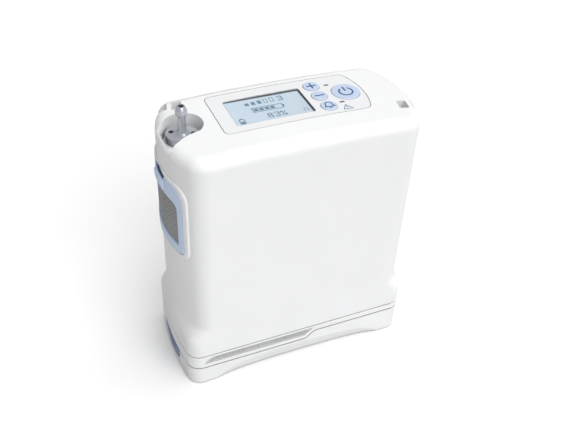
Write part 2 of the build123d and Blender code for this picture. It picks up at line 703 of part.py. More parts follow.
with BuildPart() as battery_case:
    extrude(plan(LOW_PLAN, 0), amount=BASE_LOW_RIGHT - SEAM)
    fillet(battery_case.faces().sort_by(Axis.Z)[0].edges(), radius=0.8)
    with BuildSketch(Plane.XZ.offset(-40)) as left_cut:
        with BuildLine():
            low, high = seam_step(0.2, -SEAM)
            Polyline(high, (high[0], 30), (-90, 30), (-90, low[1]), low)
        make_face()
    extrude(left_cut.sketch, amount=80, mode=Mode.SUBTRACT)
    with BuildSketch(Plane.XZ.offset(34.1)) as arch:
        with BuildLine():
            Spline(*ARCH)
            Polyline(ARCH[-1], (57.1, -6), (-57.0, -6), ARCH[0])
        make_face()
    extrude(arch.sketch, amount=14, dir=(0, 4.1, -12), mode=Mode.SUBTRACT)
    with BuildPart(mode=Mode.PRIVATE) as back_arch:
        extrude(arch.sketch, amount=14, dir=(0, 4.1, -12))
    add(mirror(back_arch.part, about=Plane.XZ, mode=Mode.PRIVATE), mode=Mode.SUBTRACT)
    with BuildPart(mode=Mode.PRIVATE) as tray_room:
        extrude(plan(LOW_PLAN, 1.6, -2.0), amount=30)
        with BuildSketch(Plane.XY) as room_limits:
            with Locations((17.4, 0)):
                Rectangle(165.2, 54)
        extrude(room_limits.sketch, amount=40, mode=Mode.INTERSECT)
    add(tray_room.part, mode=Mode.SUBTRACT)
    with BuildPart(mode=Mode.PRIVATE) as upper_room:
        extrude(plan(LOW_PLAN, 11, -2.0), amount=20)
        with BuildSketch(Plane.XY) as upper_limits:
            with Locations((17.4, 0)):
                Rectangle(165.2, 70)
        extrude(upper_limits.sketch, amount=40, mode=Mode.INTERSECT)
    add(upper_room.part, mode=Mode.SUBTRACT)
    with BuildPart(mode=Mode.PRIVATE) as latch_pocket:
        add(latch_profile.part)
        add(latch_profile.part.moved(Location((0, 0, -2.3))))
    add(latch_pocket.part, mode=Mode.SUBTRACT)
save(battery_case.part, "battery_case")

with BuildPart() as cover:
    extrude(plan(LOW_PLAN, 11.9, -2.15), amount=12)
    with BuildSketch(Plane.XY) as cover_limits:
        with Locations((17.5, 0)):
            Rectangle(165, 70)
    extrude(cover_limits.sketch, amount=40, mode=Mode.INTERSECT)
    with BuildSketch(Plane.XZ.offset(-40)) as band:
        with BuildLine():
            low, high = seam_step(0.2, -SEAM)
            Polyline(high, (90, high[1]), (90, 17.4), (JOG_X2 + 1.5, 17.4), (JOG_X1 - 0.5, 12.3))
            Polyline((JOG_X1 - 0.5, 12.3), (-90, 12.3), (-90, low[1]), low)
        make_face()
    extrude(band.sketch, amount=80, mode=Mode.INTERSECT)
    with BuildPart(mode=Mode.PRIVATE) as plateau:
        extrude(plan(LOW_PLAN, 12.3, -2.15), amount=BASE_LOW_RIGHT - SEAM - 12.3)
        extrude(plan(LOW_PLAN, BASE_LOW_RIGHT - SEAM, -0.1), amount=PLATEAU_TOP - BASE_LOW_RIGHT + SEAM)
        with BuildSketch(Plane.XY.offset(5)) as plateau_plan:
            with Locations(((90 + PLATEAU_X0) / 2, 0)):
                Rectangle(90 - PLATEAU_X0, 2 * RAIL_HALF)
        extrude(plateau_plan.sketch, amount=30, mode=Mode.INTERSECT)
    add(plateau.part)
    with BuildSketch(Plane.XY.offset(20.65)) as rails:
        Rectangle(118, 2 * RAIL_HALF + 4.0)
    extrude(rails.sketch, amount=1.15)
    with BuildSketch(Plane.XY.offset(5)) as cell_room:
        with Locations(((72.2 + PLATEAU_X0 + 1.2) / 2, 0)):
            Rectangle(72.2 - PLATEAU_X0 - 1.2, 37.4)
    extrude(cell_room.sketch, amount=20.6 - 5, mode=Mode.SUBTRACT)
    with BuildSketch(Plane.YZ.offset(-66)) as blade_slots:
        with Locations((0, 18.6)):
            with GridLocations(3.6, 1, 5, 1):
                Rectangle(1.4, 3.9)
    extrude(blade_slots.sketch, amount=4, mode=Mode.SUBTRACT)
save(cover.part, "battery_cover")

with BuildPart() as cells:
    with BuildSketch(Plane.YZ.offset(-58.8)) as cell_ends:
        with Locations((-CELL_Y, CELL_Z), (CELL_Y, CELL_Z)):
            Circle(CELL_R)
    extrude(cell_ends.sketch, amount=CELL_L)
    with BuildSketch(Plane.YZ.offset(6.7)) as cell_ends_right:
        with Locations((-CELL_Y, CELL_Z), (CELL_Y, CELL_Z)):
            Circle(CELL_R)
    extrude(cell_ends_right.sketch, amount=CELL_L)
save(cells.part, "battery_cells")

with BuildPart() as battery_board:
    with BuildSketch(Plane.YZ.offset(-61.0)):
        with Locations((0, 11.4)):
            RectangleRounded(34, 17, 1.5)
    extrude(amount=1.2)
save(battery_board.part, "battery_board")

with BuildPart() as clips:
    with BuildSketch(Plane.XY.offset(17.2)):
        for k in range(5):
            with Locations((-61.75, (k - 2) * 3.6 - 0.75), (-61.75, (k - 2) * 3.6 + 0.75)):
                Rectangle(1.4, 0.35)
    extrude(amount=2.6)
save(clips.part, "battery_clips")

with BuildPart() as latch:
    extrude(plan(LOW_PLAN, 3), amount=BASE_LOW_LEFT - SEAM - 3)
    with BuildPart(mode=Mode.PRIVATE) as latch_limit:
        with BuildSketch(Plane.YZ.offset(-80)):
            with BuildLine():
                Polyline((-14.75, 9.2), (-14.75, 25), (14.75, 25), (14.75, 9.2))
                ThreePointArc((14.75, 9.2), (0, 4.65), (-14.75, 9.2))
            make_face()
        extrude(amount=12.0)
    add(latch_limit.part, mode=Mode.INTERSECT)
    with BuildSketch(Plane.YZ.offset(-80)) as grip:
        with Locations((0, 11.0)):
            SlotOverall(18, 1.0)
        with Locations((0, 8.8)):
            SlotOverall(14, 1.0)
    extrude(grip.sketch, amount=5.5, mode=Mode.SUBTRACT)
    with BuildSketch(Plane.XY.offset(2)) as spring_well:
        with Locations((-71.2, 0)):
            Circle(2.1)
    extrude(spring_well.sketch, amount=8, mode=Mode.SUBTRACT)
save(latch.part, "battery_latch")

with BuildPart() as latch_spring:
    with BuildLine() as coil:
        Helix(pitch=1.5, height=7.0, radius=1.55, center=(-71.2, 0, 2.5))
    with BuildSketch(Plane(origin=coil.line @ 0, z_dir=coil.line % 0)):
        Circle(0.22)
    sweep(path=coil.line)
save(latch_spring.part, "latch_spring")

# ---------------------------------------------------------------- sieve columns
with BuildPart() as tubes:
    with BuildSketch(Plane.XY.offset(COL_Z0)) as tube_ring:
        with Locations((COL_X, COL_Y), (COL_X, -COL_Y)):
            Circle(COL_R)
            Circle(COL_R - 1.2, mode=Mode.SUBTRACT)
    extrude(tube_ring.sketch, amount=COL_Z1 - COL_Z0)
save(tubes.part, "column_tubes")

with BuildPart() as beds:
    with BuildSketch(Plane.XY.offset(COL_Z0 + 8)):
        with Locations((COL_X, COL_Y), (COL_X, -COL_Y)):
            Circle(COL_R - 1.3)
    extrude(amount=COL_Z1 - COL_Z0 - 22)
save(beds.part, "sieve_beds")

with BuildPart() as column_base:
    with BuildSketch(Plane.XY.offset(28)) as cap_shape:
        with Locations((COL_X, 0)):
            SlotCenterToCenter(2 * COL_Y, 27.4, rotation=90)
    extrude(cap_shape.sketch, amount=COL_Z0 - 28)
    with BuildSketch(Plane.XY.offset(COL_Z0)) as spigots:
        with Locations((COL_X, COL_Y), (COL_X, -COL_Y)):
            Circle(COL_R - 1.35)
    extrude(spigots.sketch, amount=6)
    with BuildSketch(Plane.XY.offset(27)) as cross_bore:
        with Locations((COL_X, COL_Y), (COL_X, -COL_Y)):
            Circle(2.0)
    extrude(cross_bore.sketch, amount=20, mode=Mode.SUBTRACT)
save(column_base.part, "column_base")

with BuildPart() as column_head:
    with BuildSketch(Plane.XY.offset(COL_Z1)) as head_shape:
        with Locations((COL_X, 0)):
            SlotCenterToCenter(2 * COL_Y, 27.4, rotation=90)
    extrude(head_shape.sketch, amount=8)
    with BuildSketch(Plane.XY.offset(COL_Z1 - 6)) as head_spigots:
        with Locations((COL_X, COL_Y), (COL_X, -COL_Y)):
            Circle(COL_R - 1.35)
    extrude(head_spigots.sketch, amount=6)
    with BuildSketch(Plane.XY.offset(COL_Z1 - 10)) as head_ports:
        with Locations((COL_X, COL_Y), (COL_X, -COL_Y)):
            Circle(2.0)
    extrude(head_ports.sketch, amount=30, mode=Mode.SUBTRACT)
save(column_head.part, "column_head")

with BuildPart() as column_springs:
    for cy in (COL_Y, -COL_Y):
        with BuildLine(mode=Mode.PRIVATE) as bed_coil:
            Helix(pitch=2.3, height=6.0, radius=8.5, center=(COL_X, cy, COL_Z1 - 13.2))
        with BuildSketch(Plane(origin=bed_coil.line @ 0, z_dir=bed_coil.line % 0)) as wire:
            Circle(0.5)
        sweep(sections=wire.sketch, path=bed_coil.line)
save(column_springs.part, "column_springs")

with BuildPart() as pull_loop:
    with BuildSketch(Plane.XZ.offset(-1)) as loop_shape:
        with Locations((COL_X, 27.2)):
            RectangleRounded(18, 1.4, 0.4)
    extrude(loop_shape.sketch, amount=2)
save(pull_loop.part, "column_pull_strip")

# ---------------------------------------------------------------- compressor
with BuildPart() as crankcase:
    with BuildSketch(Plane.XZ.offset(-3)) as crank_box:
        with Locations((CRANK_X, CRANK_Z)):
            RectangleRounded(40, 40, 4)
    extrude(crank_box.sketch, amount=33.5)
    with BuildSketch(Plane.XZ.offset(3)) as crank_room:
        with Locations((CRANK_X, CRANK_Z)):
            RectangleRounded(34, 34, 3)
    extrude(crank_room.sketch, amount=23.5, mode=Mode.SUBTRACT)
    with BuildSketch(Plane.XZ.offset(-5)) as seats:
        with Locations((CRANK_X, CRANK_Z)):
            Circle(7.52)
    extrude(seats.sketch, amount=40, mode=Mode.SUBTRACT)
    for side, sign in (("left", -1), ("right", 1)):
        with BuildSketch(Plane.YZ.offset(CRANK_X + sign * 10)) as port:
            with Locations((ROD_Y[side], CRANK_Z)):
                Circle(BORE_R)
        extrude(port.sketch, amount=sign * 15, mode=Mode.SUBTRACT)
save(crankcase.part, "crankcase")

with BuildPart() as bearings:
    for by in (1.8, -26.7):
        with BuildSketch(Plane.XZ.offset(-by)) as race:
            with Locations((CRANK_X, CRANK_Z)):
                Circle(7.5)
                Circle(SHAFT_R + 0.03, mode=Mode.SUBTRACT)
        extrude(race.sketch, amount=3.6)
save(bearings.part, "crank_bearings")

with BuildPart() as cylinders:
    for side, sign in (("left", -1), ("right", 1)):
        with BuildSketch(Plane.YZ.offset(CRANK_X + sign * 20)) as barrel:
            with Locations((ROD_Y[side], CRANK_Z)):
                Circle(12.5)
                Circle(BORE_R, mode=Mode.SUBTRACT)
        extrude(barrel.sketch, amount=sign * 24)
save(cylinders.part, "cylinders")

with BuildPart() as heads:
    for side, sign in (("left", -1), ("right", 1)):
        with BuildSketch(Plane.YZ.offset(CRANK_X + sign * 44)) as head_plate:
            with Locations((ROD_Y[side], CRANK_Z)):
                RectangleRounded(25, 25, 3)
        extrude(head_plate.sketch, amount=sign * 5)
        with BuildSketch(Plane.YZ.offset(CRANK_X + sign * 49)) as fins:
            with Locations((ROD_Y[side], CRANK_Z)):
                with GridLocations(5.0, 1, 5, 1):
                    Rectangle(1.6, 22)
        extrude(fins.sketch, amount=sign * 3)
save(heads.part, "cylinder_heads")

for side, sign in (("left", -1), ("right", 1)):
    ry = ROD_Y[side]
    with BuildPart() as piston:
        with BuildSketch(Plane.XZ.offset(-ry - 2)) as big_end:
            with Locations((CRANK_X, CRANK_Z)):
                Circle(BIG_END_R + 2.0)
            with Locations((CRANK_X + sign * 24.0, CRANK_Z)):
                Rectangle(23.0, 7)
            with Locations((CRANK_X, CRANK_Z)):
                Circle(BIG_END_R, mode=Mode.SUBTRACT)
        extrude(big_end.sketch, amount=4)
        with BuildSketch(Plane.YZ.offset(CRANK_X + sign * 32)) as disc:
            with Locations((ry, CRANK_Z)):
                Circle(BORE_R - 0.12)
        extrude(disc.sketch, amount=sign * 8)
        with BuildSketch(Plane.YZ.offset(CRANK_X + sign * 35.5)) as cup_groove:
            with Locations((ry, CRANK_Z)):
                Circle(BORE_R + 1)
                Circle(BORE_R - 1.2, mode=Mode.SUBTRACT)
        extrude(cup_groove.sketch, amount=sign * 1.2, mode=Mode.SUBTRACT)
    save(piston.part, f"piston_{side}")

with BuildPart() as rotor:
    with BuildSketch(Plane.XZ.offset(-25.5)) as shaft:
        with Locations((CRANK_X, CRANK_Z)):
            Circle(SHAFT_R)
    extrude(shaft.sketch, amount=55.8)
    with BuildSketch(Plane.XZ.offset(5)) as eccentric:
        with Locations((CRANK_X, CRANK_Z + THROW)):
            Circle(PIN_R)
    extrude(eccentric.sketch, amount=13.5)
    with BuildSketch(Plane.XZ.offset(-24)) as magnet:
        with Locations((CRANK_X, CRANK_Z)):
            Circle(9.5)
    extrude(magnet.sketch, amount=17.5)
save(rotor.part, "compressor_rotor")

with BuildPart() as counterweight:
    with BuildSketch(Plane.XZ.offset(19.5)):
        with Locations((CRANK_X, CRANK_Z)):
            Circle(14)
        with Locations((CRANK_X, CRANK_Z + 9.5)):
            Rectangle(30, 10.4, mode=Mode.SUBTRACT)
        with Locations((CRANK_X, CRANK_Z)):
            Circle(SHAFT_R + 0.01, mode=Mode.SUBTRACT)
    extrude(amount=4.5)
save(counterweight.part, "counterweight")

with BuildPart() as stator:
    with BuildSketch(Plane.XZ.offset(-24.4)) as stator_ring:
        with Locations((CRANK_X, CRANK_Z)):
            Circle(19)
            Circle(10.3, mode=Mode.SUBTRACT)
            with PolarLocations(13.6, 6, start_angle=30):
                RectangleRounded(3.4, 5.6, 1.2, mode=Mode.SUBTRACT)
    extrude(stator_ring.sketch, amount=18.4)
    with BuildSketch(Plane.XZ.offset(-6)) as stator_skirt:
        with Locations((CRANK_X, CRANK_Z)):
            Circle(19)
            Circle(16.8, mode=Mode.SUBTRACT)
    extrude(stator_skirt.sketch, amount=2.95)
    with BuildSketch(Plane.XZ.offset(-26.0)) as end_bell:
        with Locations((CRANK_X, CRANK_Z)):
            Circle(19)
            Circle(SHAFT_R + 0.4, mode=Mode.SUBTRACT)
    extrude(end_bell.sketch, amount=1.6)
save(stator.part, "motor_stator")

with BuildPart() as coils:
    for k in range(6):
        with BuildSketch(Plane.XZ.offset(-23.6)) as coil_section:
            with Locations((CRANK_X, CRANK_Z)):
                with PolarLocations(13.6, 1, start_angle=30 + 60 * k):
                    RectangleRounded(2.6, 4.8, 1.0)
        extrude(coil_section.sketch, amount=16.6)
save(coils.part, "motor_coils")

with BuildPart() as mounts:
    with BuildSketch(Plane.XY.offset(PLUG_TOP)) as mount_feet:
        with Locations((-29, -24.5), (1, -24.5), (-29, -2.5), (1, -2.5)):
            Circle(4.0)
    extrude(mount_feet.sketch, amount=1.4)
    with BuildSketch(Plane.XY.offset(PLUG_TOP + 1.4)) as mount_waists:
        with Locations((-29, -24.5), (1, -24.5), (-29, -2.5), (1, -2.5)):
            Circle(2.8)
    extrude(mount_waists.sketch, amount=1.2)
    with BuildSketch(Plane.XY.offset(PLUG_TOP + 2.6)) as mount_tops:
        with Locations((-29, -24.5), (1, -24.5), (-29, -2.5), (1, -2.5)):
            Circle(4.0)
    extrude(mount_tops.sketch, amount=1.4)
save(mounts.part, "rubber_mounts")

# ---------------------------------------------------------------- pneumatics
with BuildPart() as chassis:
    with BuildSketch(Plane.XZ.offset(-23.5)) as web:
        with Locations((-4.5, 111)):
            Rectangle(83, 74)
        with Locations((12, 50.05)):
            Rectangle(8, 48)
        with Locations((-40, 50.05)):
            Rectangle(8, 48)
        with Locations((-26, 124), (18, 124)):
            RectangleRounded(24, 34, 4, mode=Mode.SUBTRACT)
    extrude(web.sketch, amount=1.5)
    with BuildSketch(Plane.XY.offset(PLUG_TOP)) as feet:
        with Locations((12, 19.5), (-40, 19.5)):
            Rectangle(8, 8)
    extrude(feet.sketch, amount=1.5)
    with BuildSketch(Plane.XZ.offset(-24.95)) as board_pads:
        with Locations((-42, 79), (33, 79), (-42, 145), (33, 145)):
            Circle(2.6)
    extrude(board_pads.sketch, amount=1.45)
save(chassis.part, "inner_chassis")

with BuildPart() as manifold:
    with BuildSketch(Plane.XY.offset(84)) as manifold_block:
        with Locations((-19, 6)):
            RectangleRounded(54, 31.8, 2)
    extrude(manifold_block.sketch, amount=14)
    with BuildSketch(Plane.XZ.offset(12)) as manifold_ports:
        with Locations((-39, 91), (-26, 91), (-12, 91), (1, 91)):
            Circle(2.0)
    extrude(manifold_ports.sketch, amount=-10, mode=Mode.SUBTRACT)
save(manifold.part, "valve_manifold")

with BuildPart() as valves:
    with BuildSketch(Plane.XY.offset(98)) as coils_plan:
        with Locations((-39, 6), (-26, 6), (-12, 6), (1, 6)):
            RectangleRounded(11, 14, 1.5)
    extrude(coils_plan.sketch, amount=17)
    with BuildSketch(Plane.XY.offset(115)) as caps_plan:
        with Locations((-39, 6), (-26, 6), (-12, 6), (1, 6)):
            Circle(3.6)
    extrude(caps_plan.sketch, amount=5)
save(valves.part, "solenoid_valves")

with BuildPart() as tank:
    with BuildSketch(Plane.XY.offset(78)):
        with Locations((24.5, -14)):
            Circle(12)
    extrude(amount=60)
    fillet(tank.edges(), radius=3)
    with BuildSketch(Plane.XY.offset(138)) as tank_port:
        with Locations((24.5, -14)):
            Circle(2.2)
    extrude(tank_port.sketch, amount=4)
save(tank.part, "product_tank")

with BuildPart() as muffler:
    with BuildSketch(Plane.YZ.offset(-44)):
        with Locations((-21.5, 92)):
            Circle(8.5)
    extrude(amount=50)
    fillet(muffler.edges(), radius=2)
save(muffler.part, "intake_muffler")

with BuildPart() as sensor:
    with BuildSketch(Plane.XY.offset(90)):
        with Locations((24.5, 10)):
            RectangleRounded(20, 14, 2)
    extrude(amount=26)
    with BuildSketch(Plane.XY.offset(116)) as sensor_ports:
        with Locations((20, 10), (29, 10)):
            Circle(1.8)
    extrude(sensor_ports.sketch, amount=5)
save(sensor.part, "oxygen_sensor")


def tube(points, radius, bore, bend):
    """Round tube swept along a path with rounded corners."""
    with BuildPart() as pipe:
        with BuildLine() as path:
            FilletPolyline(*points, radius=bend)
        with BuildSketch(Plane(origin=path.line @ 0, z_dir=path.line % 0)):
            Circle(radius)
            Circle(bore, mode=Mode.SUBTRACT)
        sweep(path=path.line)
    return pipe.part


with BuildPart() as product_tubes:
    low = 146.0
    corners = [(24.5, -14, low), (NOZZLE_X, -14, low), (NOZZLE_X, NOZZLE_Y, low)]
    add(tube([(24.5, -14, 142.2), *corners, (NOZZLE_X, NOZZLE_Y, 149.4)], 2.4, 1.3, 3))
save(product_tubes.part, "product_tube")

with BuildPart() as feed_tubes:
    left_feed = [(-60.5, -8, 62.7), (-60.5, -8, 74), (-60.5, 6, 74), (-60.5, 6, 91), (-46.2, 6, 91)]
    right_feed = [(33, -15, 62.7), (33, -15, 72), (33, 5, 72), (0, 5, 72), (0, 5, 83.8)]
    sample = [(COL_X, COL_Y, 148.2), (COL_X, COL_Y, 153), (30, COL_Y, 153), (20, 10, 153), (20, 10, 121.2)]
    add(tube(left_feed, 2.2, 1.2, 4))
    add(tube(right_feed, 2.2, 1.2, 4))
    add(tube(sample, 1.8, 1.0, 2.5))
save(feed_tubes.part, "air_tubes")

# ---------------------------------------------------------------- electronics
with BuildPart() as main_board:
    with BuildSketch(Plane.XZ.offset(-26.6)):
        with Locations((-4.5, 112)):
            RectangleRounded(82, 74, 2)
        with Locations((-42, 79), (33, 79), (-42, 145), (33, 145)):
            Circle(1.6, mode=Mode.SUBTRACT)
    extrude(amount=1.6)
save(main_board.part, "main_board")

with BuildPart() as board_parts:
    with BuildSketch(Plane.XZ.offset(-26.65)) as chips:
        with Locations((-24, 128)):
            Rectangle(14, 14)
        with Locations((6, 132), (22, 132)):
            Rectangle(8, 10)
        with Locations((-30, 100), (-14, 100)):
            Rectangle(7, 7)
        with Locations((16, 104)):
            Rectangle(22, 12)
        with Locations((-4, 84), (10, 84), (24, 84)):
            Circle(4)
    extrude(chips.sketch, amount=-3.2)
save(board_parts.part, "board_components")
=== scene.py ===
import json
import math

import bmesh
import bpy
from mathutils import Matrix, Vector


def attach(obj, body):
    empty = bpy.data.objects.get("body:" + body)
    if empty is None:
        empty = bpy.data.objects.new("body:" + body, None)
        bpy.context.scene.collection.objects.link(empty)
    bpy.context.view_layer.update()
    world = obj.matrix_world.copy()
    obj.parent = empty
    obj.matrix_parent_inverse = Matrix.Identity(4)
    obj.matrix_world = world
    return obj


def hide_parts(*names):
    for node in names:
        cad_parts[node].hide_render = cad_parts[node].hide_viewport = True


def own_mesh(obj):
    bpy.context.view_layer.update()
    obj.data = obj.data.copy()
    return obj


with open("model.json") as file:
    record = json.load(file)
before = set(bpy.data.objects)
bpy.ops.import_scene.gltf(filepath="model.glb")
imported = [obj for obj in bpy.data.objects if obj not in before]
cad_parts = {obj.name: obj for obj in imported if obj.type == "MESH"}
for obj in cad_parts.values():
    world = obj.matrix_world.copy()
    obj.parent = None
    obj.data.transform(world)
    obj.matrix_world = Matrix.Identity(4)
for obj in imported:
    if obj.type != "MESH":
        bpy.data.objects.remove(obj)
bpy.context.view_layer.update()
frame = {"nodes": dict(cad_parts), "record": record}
nodes = frame["nodes"]
MM = 0.001

# ------------------------------------------------------------------ layout, in millimetres
# Crowned top and bowed ends of the casing
TOP_Z, CROWN_R = 167.2, 1180.0
END_HALF, END_R = 73.6, 60.0

# Centres of the keys and of the marks between them, seen from above
POWER_AT, PLUS_AT, MINUS_AT, ALERT_AT = (36.5, 5.1), (20.0, 16.2), (20.3, 5.2), (21.0, -5.6)
TRIANGLE_AT = (30.2, -9.9)
KEY_PROUD = 0.55

# Face of the display module and the height of what it shows
FACE_Z = 165.8
INK_DEPTH = 0.03

# Filter window: half width, lower and upper edge, corner radii below and above
WINDOW_HALF, WINDOW_Z0, WINDOW_Z1 = 20.0, 104.6, 133.2
WINDOW_RL, WINDOW_RT = 1.6, 4.5

# Filter screen: spacing and radius of its wires, and how far they weave in and out
WIRE_PITCH, WIRE_R, WIRE_SWING = 1.1, 0.27, 0.26


# ------------------------------------------------------------------ materials
class Graph:
    """Small helper that lays out shader nodes."""

    def __init__(self, name):
        self.mat = bpy.data.materials.new(name)
        self.mat.use_nodes = True
        self.tree = self.mat.node_tree
        self.tree.nodes.clear()
        self.out = self.tree.nodes.new("ShaderNodeOutputMaterial")
        self.bsdf = self.tree.nodes.new("ShaderNodeBsdfPrincipled")
        self.tree.links.new(self.bsdf.outputs[0], self.out.inputs[0])
        self.coord = self.tree.nodes.new("ShaderNodeTexCoord")

    def node(self, kind, **values):
        made = self.tree.nodes.new(kind)
        for key, value in values.items():
            if key in made.inputs:
                made.inputs[key].default_value = value
            else:
                setattr(made, key, value)
        return made

    def link(self, a, b):
        self.tree.links.new(a, b)

    def noise(self, scale, detail=2.0, rough=0.5, stretch=None):
        """Noise in object space, scale in features per metre."""
        tex = self.node("ShaderNodeTexNoise", Scale=scale, Detail=detail, Roughness=rough)
        if stretch:
            mapping = self.node("ShaderNodeMapping")
            mapping.inputs["Scale"].default_value = stretch
            self.link(self.coord.outputs["Object"], mapping.inputs[0])
            self.link(mapping.outputs[0], tex.inputs["Vector"])
        else:
            self.link(self.coord.outputs["Object"], tex.inputs["Vector"])
        return tex.outputs["Fac"]

    def ramp(self, fac, a, b, low=0.3, high=0.7):
        """Maps a factor onto two values or two colours."""
        ramp = self.node("ShaderNodeValToRGB")
        ramp.color_ramp.elements[0].position = low
        ramp.color_ramp.elements[1].position = high
        if not isinstance(a, (tuple, list)):
            a, b = (a, a, a), (b, b, b)
        ramp.color_ramp.elements[0].color = (*a, 1)
        ramp.color_ramp.elements[1].color = (*b, 1)
        self.link(fac, ramp.inputs[0])
        return ramp.outputs[0]

    def painted_crevice_shade(self, colour, reach, dark, low=0.1, high=0.7):
        """Paints shade into a colour, darkening it where other surfaces close in within reach, in metres."""
        near = self.node("ShaderNodeAmbientOcclusion", samples=8, Distance=reach)
        mix = self.node("ShaderNodeMix", data_type="RGBA", blend_type="MULTIPLY")
        mix.inputs[0].default_value = 1.0
        self.link(colour, mix.inputs[6])
        self.link(self.ramp(near.outputs["AO"], dark, 1.0, low, high), mix.inputs[7])
        return mix.outputs[2]

    def bump(self, *heights):
        """Chains (height output, distance in metres, strength) bumps onto the surface."""
        last = None
        for height, distance, strength in heights:
            bump = self.node("ShaderNodeBump", Strength=strength, Distance=distance)
            self.link(height, bump.inputs["Height"])
            if last is not None:
                self.link(last.outputs[0], bump.inputs["Normal"])
            last = bump
        self.link(last.outputs[0], self.bsdf.inputs["Normal"])


def shade(c, k):
    return tuple(max(0.0, min(1.0, v * k)) for v in c)


PLASTIC_IOR = 1.5
COAT_ROUGHNESS = 0.12
FLOW_SCALE, GLOSS_SCALE, WAVE_SCALE = 28, 160, 45
WAVE_DEPTH = 0.12 * MM
GLOW_RADIUS = (1.6 * MM, 1.4 * MM, 1.2 * MM)


def moulded(
    name, colour, rough=0.42, grain=2600.0, depth=0.00002, vary=0.03, coat=0.0, metallic=0.0, sss=0.0,
    dark=None, reach=2.2,
):
    """Moulded plastic: spark-eroded grain, faint flow marks, uneven gloss and painted shade in gaps and
    hollows.

    rough is the mean roughness and vary the spread of the colour; dark is how far the painted shade darkens
    gaps narrower than reach, in millimetres.
    """
    g = Graph(name)
    tone = g.ramp(g.noise(FLOW_SCALE, 3), shade(colour, 1 - vary), shade(colour, 1 + vary * 0.6))
    # Painted shade: the colour darkens in gaps and hollows where other surfaces close in
    if dark is not None:
        tone = g.painted_crevice_shade(tone, reach * MM, dark)
    g.link(tone, g.bsdf.inputs["Base Color"])
    gloss = g.ramp(g.noise(GLOSS_SCALE, 4, 0.6), rough - 0.05, rough + 0.06)
    g.link(gloss, g.bsdf.inputs["Roughness"])
    g.bsdf.inputs["IOR"].default_value = PLASTIC_IOR
    g.bsdf.inputs["Metallic"].default_value = metallic
    g.bsdf.inputs["Coat Weight"].default_value = coat
    g.bsdf.inputs["Coat Roughness"].default_value = COAT_ROUGHNESS
    if sss:
        g.bsdf.inputs["Subsurface Weight"].default_value = sss
        g.bsdf.inputs["Subsurface Radius"].default_value = GLOW_RADIUS
        g.bsdf.inputs["Subsurface Scale"].default_value = 0.6
    g.bump((g.noise(grain, 2, 0.6), depth, 0.35), (g.noise(WAVE_SCALE, 2), WAVE_DEPTH, 0.08))
    return g.mat


def metal(name, colour, rough=0.3, brushed=None, depth=0.00001):
    """Bare metal with machining marks and patchy gloss."""
    g = Graph(name)
    g.bsdf.inputs["Metallic"].default_value = 1.0
    tone = g.ramp(g.noise(60, 4), shade(colour, 0.86), shade(colour, 1.06))
    g.link(tone, g.bsdf.inputs["Base Color"])
    streaks = g.noise(900, 3, 0.6, brushed or (1, 1, 1))
    g.link(g.ramp(streaks, rough - 0.08, rough + 0.12), g.bsdf.inputs["Roughness"])
    g.bump((streaks, depth, 0.4))
    return g.mat


def rubber(name, colour, rough=0.6):
    """Soft rubber or silicone with a dusty, slightly pitted skin."""
    g = Graph(name)
    dust = g.ramp(g.noise(300, 5, 0.65), shade(colour, 0.8), shade(colour, 1.25))
    g.link(dust, g.bsdf.inputs["Base Color"])
    g.link(g.ramp(g.noise(90, 3), rough - 0.08, rough + 0.12), g.bsdf.inputs["Roughness"])
    g.bump((g.noise(1800, 3), 0.00004, 0.5))
    return g.mat


SOLDER = (0.62, 0.55, 0.36, 1)


def circuit(name, colour):
    """Solder mask with copper runs showing through and solder dots."""
    g = Graph(name)
    mapping = g.node("ShaderNodeMapping")
    g.link(g.coord.outputs["Object"], mapping.inputs[0])
    brick = g.node("ShaderNodeTexBrick", Scale=220.0)
    brick.inputs["Mortar Size"].default_value = 0.06
    brick.inputs["Color1"].default_value = (*colour, 1)
    brick.inputs["Color2"].default_value = (*shade(colour, 0.8), 1)
    brick.inputs["Mortar"].default_value = (*shade(colour, 1.9), 1)
    g.link(mapping.outputs[0], brick.inputs["Vector"])
    dots = g.node("ShaderNodeTexVoronoi", Scale=330.0)
    g.link(g.coord.outputs["Object"], dots.inputs["Vector"])
    mix = g.node("ShaderNodeMix", data_type="RGBA")
    g.link(g.ramp(dots.outputs["Distance"], 1.0, 0.0, 0.1, 0.14), mix.inputs[0])
    g.link(brick.outputs["Color"], mix.inputs[6])
    mix.inputs[7].default_value = SOLDER
    g.link(mix.outputs[2], g.bsdf.inputs["Base Color"])
    g.link(g.ramp(g.noise(500, 3), 0.25, 0.42), g.bsdf.inputs["Roughness"])
    g.bump((brick.outputs["Fac"], 0.00003, 0.5))
    return g.mat


def fibres(name, colour):
    """Pressed felt."""
    g = Graph(name)
    strands = g.noise(1500, 6, 0.7, (1, 1, 6))
    g.link(g.ramp(strands, shade(colour, 0.7), shade(colour, 1.1)), g.bsdf.inputs["Base Color"])
    g.bsdf.inputs["Roughness"].default_value = 0.95
    g.bsdf.inputs["Sheen Weight"].default_value = 0.4
    g.bump((strands, 0.0001, 0.8))
    return g.mat


def beads(name, colour):
    """Bed of small zeolite beads, with painted shade between them."""
    g = Graph(name)
    cells = g.node("ShaderNodeTexVoronoi", Scale=900.0)
    g.link(g.coord.outputs["Object"], cells.inputs["Vector"])
    # Painted shade: each bead lighter at its middle and darker towards its rim, where it meets its neighbours
    tone = g.ramp(cells.outputs["Distance"], shade(colour, 1.1), shade(colour, 0.5), 0.2, 0.8)
    g.link(tone, g.bsdf.inputs["Base Color"])
    g.bsdf.inputs["Roughness"].default_value = 0.85
    g.bump((cells.outputs["Distance"], -0.0004, 1.0))
    return g.mat


LENS_IOR = 1.38
HAZE_SCALE = 2400


